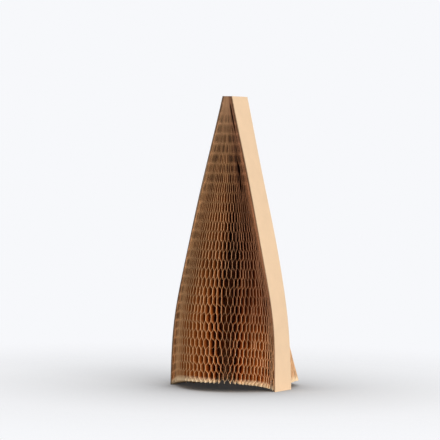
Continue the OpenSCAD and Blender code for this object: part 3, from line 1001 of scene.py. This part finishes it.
def cover_mesh(form, way):
    """Cover strip on one side: a thin closed strip that follows the taper, with edges that wave a little."""
    across, up = COVER_ACROSS, COVER_UP
    width = 2 * form.panel_depth
    points = []
    for skin in (0.0, 1.0):
        for i in range(up + 1):
            v = i / up
            x = half_width(form, v) - skin * form.cover_thickness
            for j in range(across + 1):
                u = j / across - 0.5
                fade = math.sin(math.pi * v) ** 0.5 * (u * u * 4)
                wave = COVER_WAVE * fade * math.sin(WAVE_UP * v + WAVE_ACROSS * u * way + way)
                out = way * (x + wave + cover_out(form, v, u))
                points.append((out, form.meet_y + u * width, v * form.height))
    row = across + 1
    layer = row * (up + 1)
    faces = []
    for i in range(up):
        for j in range(across):
            a = i * row + j
            faces.append((a, a + 1, a + 1 + row, a + row))
            faces.append((a + layer, a + row + layer, a + 1 + row + layer, a + 1 + layer))
    for j in range(across):
        for a, flip in ((j, True), (up * row + j, False)):
            quad = (a, a + 1, a + 1 + layer, a + layer)
            faces.append(quad[::-1] if flip else quad)
    for i in range(up):
        for a, flip in ((i * row, False), (i * row + across, True)):
            quad = (a, a + row, a + row + layer, a + layer)
            faces.append(quad[::-1] if flip else quad)
    if way < 0:
        faces = [face[::-1] for face in faces]
    mesh = bpy.data.meshes.new("cover")
    mesh.from_pydata(points, [], faces)

    # The cut edges are marked 1 on the right strip and 2 on the left one, whose edges get painted shade
    cut = mesh.attributes.new("cut_edge", "FLOAT", "FACE")
    mark = 1.0 if way > 0 else 2.0
    cut.data.foreach_set("value", [mark * (k >= 2 * across * up) for k in range(len(faces))])
    return mesh


def place_camera(scene, axis):
    """Camera to the front right of the sleeve, aimed at its axis."""
    studio = scene.sleeve_studio
    camera = bpy.data.objects.new("camera", bpy.data.cameras.new("camera"))
    scene.collection.objects.link(camera)
    camera.data.sensor_width = 36
    camera.data.lens = studio.focal_length
    camera.data.clip_start = 0.1
    camera.data.clip_end = 50
    back = Vector((math.sin(studio.azimuth), -math.cos(studio.azimuth), 0))
    right = Vector((math.cos(studio.azimuth), math.sin(studio.azimuth), 0))
    place = axis + back * studio.distance + Vector((0, 0, studio.camera_height))
    aim = axis - right * studio.aim_left + Vector((0, 0, studio.aim_height))
    look = (aim - place).to_track_quat("-Z", "Y").to_matrix().to_4x4()
    camera.matrix_world = Matrix.Translation(place) @ look @ Matrix.Rotation(studio.roll, 4, "Z")
    scene.camera = camera


def place_lamps(scene, axis):
    """Soft square lamps, aimed at the middle of the sleeve."""
    for name, (azimuth, height, distance, size, power) in LAMPS.items():
        lamp = bpy.data.lights.new(name, "AREA")
        lamp.shape = "SQUARE"
        lamp.size = size
        lamp.energy = power
        item = bpy.data.objects.new(name, lamp)
        scene.collection.objects.link(item)
        turn = math.radians(azimuth)
        spot = axis + Vector((math.sin(turn), -math.cos(turn), 0)) * distance + Vector((0, 0, height))
        towards = axis + Vector((0, 0, LAMP_AIM_HEIGHT)) - spot
        item.matrix_world = Matrix.Translation(spot) @ towards.to_track_quat("-Z", "Y").to_matrix().to_4x4()


def looking_rays(add):
    """1 for rays that look at the backdrop: from the camera, off a gloss or through something clear."""
    path = add("ShaderNodeLightPath").outputs
    looks = add(MATH, {0: path["Is Camera Ray"], 1: path["Is Glossy Ray"]}, "MAXIMUM")
    return add(MATH, {0: looks, 1: path["Is Transmission Ray"]}, "MAXIMUM")


def make_world(scene, backdrop):
    """World that lights the sleeve softly and shows as the backdrop's colour."""
    world = bpy.data.worlds.new("studio_world")
    world.use_nodes = True
    scene.world = world
    world.node_tree.nodes.clear()
    add = partial(add_node, world.node_tree)
    ambient = add("ShaderNodeBackground", {"Color": (1.0, 0.985, 0.96, 1.0), "Strength": AMBIENT})
    seen = add("ShaderNodeBackground", {"Color": backdrop, "Strength": 1.0})
    mixed = add("ShaderNodeMixShader", {0: looking_rays(add), 1: ambient, 2: seen})
    add("ShaderNodeOutputWorld", {"Surface": mixed})


def white_paper_sweep(backdrop):
    """Matt white paper sweep. It takes the sleeve's shadow near its middle, partly cast by the lamps and
    partly painted shade from occlusion, and fades into the backdrop.
    """
    material = bpy.data.materials.new("white_paper_sweep")
    material.use_nodes = True
    material.node_tree.nodes.clear()
    add = partial(add_node, material.node_tree)
    position = add("ShaderNodeTexCoord").outputs["Object"]
    from_middle = add("ShaderNodeVectorMath", {0: position}, "LENGTH").outputs["Value"]
    fade = add(
        MAP_RANGE, dict(zip(RANGE, (from_middle, *FLOOR_FADE, 0.0, 1.0))), interpolation_type="SMOOTHSTEP")
    matt = add("ShaderNodeBsdfDiffuse", {"Color": linear("#F4F4F4")})
    # Painted shade: what the camera sees is mostly the backdrop's colour, darkened by occlusion near and
    # under the sleeve
    open_sky = add("ShaderNodeAmbientOcclusion", {"Distance": SHADE_REACH}, samples=16).outputs["AO"]
    near = add(MATH, {0: open_sky, 1: SHADE_POWER}, "POWER")
    near = add(MATH, {0: near, 1: SHADE_MIN}, "MAXIMUM")
    pale = add("ShaderNodeEmission", {"Color": backdrop, "Strength": near})
    lifted = add(MATH, {0: looking_rays(add), 1: SHADE_SHARE}, "MULTIPLY")
    matt = add("ShaderNodeMixShader", {0: lifted, 1: matt, 2: pale})
    clear = add("ShaderNodeBsdfTransparent")
    mixed = add("ShaderNodeMixShader", {0: fade, 1: matt, 2: clear})
    add("ShaderNodeOutputMaterial", {"Surface": mixed})
    return material


def lay_floor(scene, backdrop):
    """Round floor under the sleeve."""
    turns = (2 * math.pi * k / FLOOR_SIDES for k in range(FLOOR_SIDES))
    rim = [(FLOOR_RADIUS * math.cos(turn), FLOOR_RADIUS * math.sin(turn), 0) for turn in turns]
    mesh = bpy.data.meshes.new("floor")
    faces = [(0, k + 1, (k + 1) % FLOOR_SIDES + 1) for k in range(FLOOR_SIDES)]
    mesh.from_pydata([(0, 0, 0)] + rim, [], faces)
    mesh.materials.append(white_paper_sweep(backdrop))
    floor = bpy.data.objects.new("floor", mesh)
    scene.collection.objects.link(floor)


class SLEEVE_OT_studio(bpy.types.Operator):
    """Makes the pale floor, the soft lamps, the world and the camera"""

    bl_idname = "sleeve.studio"
    bl_label = "Studio"

    def execute(self, context):
        scene = context.scene
        axis = Vector((0, scene.sleeve_form.meet_y, 0))
        backdrop = tuple(scene.sleeve_colours.backdrop)
        scene.view_settings.view_transform = "Standard"
        place_camera(scene, axis)
        place_lamps(scene, axis)
        make_world(scene, backdrop)
        lay_floor(scene, backdrop)
        return {"FINISHED"}


class SLEEVE_OT_combs(bpy.types.Operator):
    """Makes the front and the back honeycomb panel"""

    bl_idname = "sleeve.combs"
    bl_label = "Honeycomb Panels"

    def execute(self, context):
        make_comb(context.scene, -1, "front_comb", "front_honeycomb", 11)
        make_comb(context.scene, 1, "back_comb", "back_honeycomb", 29)
        return {"FINISHED"}


class SLEEVE_OT_covers(bpy.types.Operator):
    """Makes the plain card strips that cover the two sides"""

    bl_idname = "sleeve.covers"
    bl_label = "Cover Strips"

    def execute(self, context):
        scene = context.scene
        card = bpy.data.materials.get("pale_kraft_card") or pale_kraft_card(scene.sleeve_colours)
        for way, node in ((-1, "left_cover"), (1, "right_cover")):
            mesh = cover_mesh(scene.sleeve_form, way)
            mesh.materials.append(card)
            piece = finished_piece(node + "_strip", mesh)
            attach(piece, "root")
            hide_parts(node)
        return {"FINISHED"}


class SLEEVE_PT_panel(bpy.types.Panel):
    """Sizes, colours and pieces of the sleeve"""

    bl_idname = "SLEEVE_PT_panel"
    bl_label = "Honeycomb Paper Sleeve"
    bl_space_type = "VIEW_3D"
    bl_region_type = "UI"
    bl_category = "Sleeve"

    def draw(self, context):
        layout = self.layout
        for operator in OPERATORS:
            layout.operator(operator.bl_idname)
        for name in SETTINGS:
            group = getattr(context.scene, name)
            box = layout.box()
            for key in group.bl_rna.properties.keys():
                if key not in ("rna_type", "name"):
                    box.prop(group, key)


OPERATORS = (SLEEVE_OT_studio, SLEEVE_OT_combs, SLEEVE_OT_covers)
SETTINGS = {
    "sleeve_form": SleeveForm,
    "sleeve_comb": CombPaper,
    "sleeve_colours": SleeveColours,
    "sleeve_studio": SleeveStudio,
}


def register():
    for item in (*SETTINGS.values(), *OPERATORS, SLEEVE_PT_panel):
        bpy.utils.register_class(item)
    for name, group in SETTINGS.items():
        setattr(bpy.types.Scene, name, PointerProperty(type=group))


def unregister():
    for name in SETTINGS:
        delattr(bpy.types.Scene, name)
    for item in (SLEEVE_PT_panel, *OPERATORS, *SETTINGS.values()):
        bpy.utils.unregister_class(item)


def main():
    register()
    bpy.ops.sleeve.studio()
    bpy.ops.sleeve.combs()
    bpy.ops.sleeve.covers()


if __name__ == "__main__":
    main()
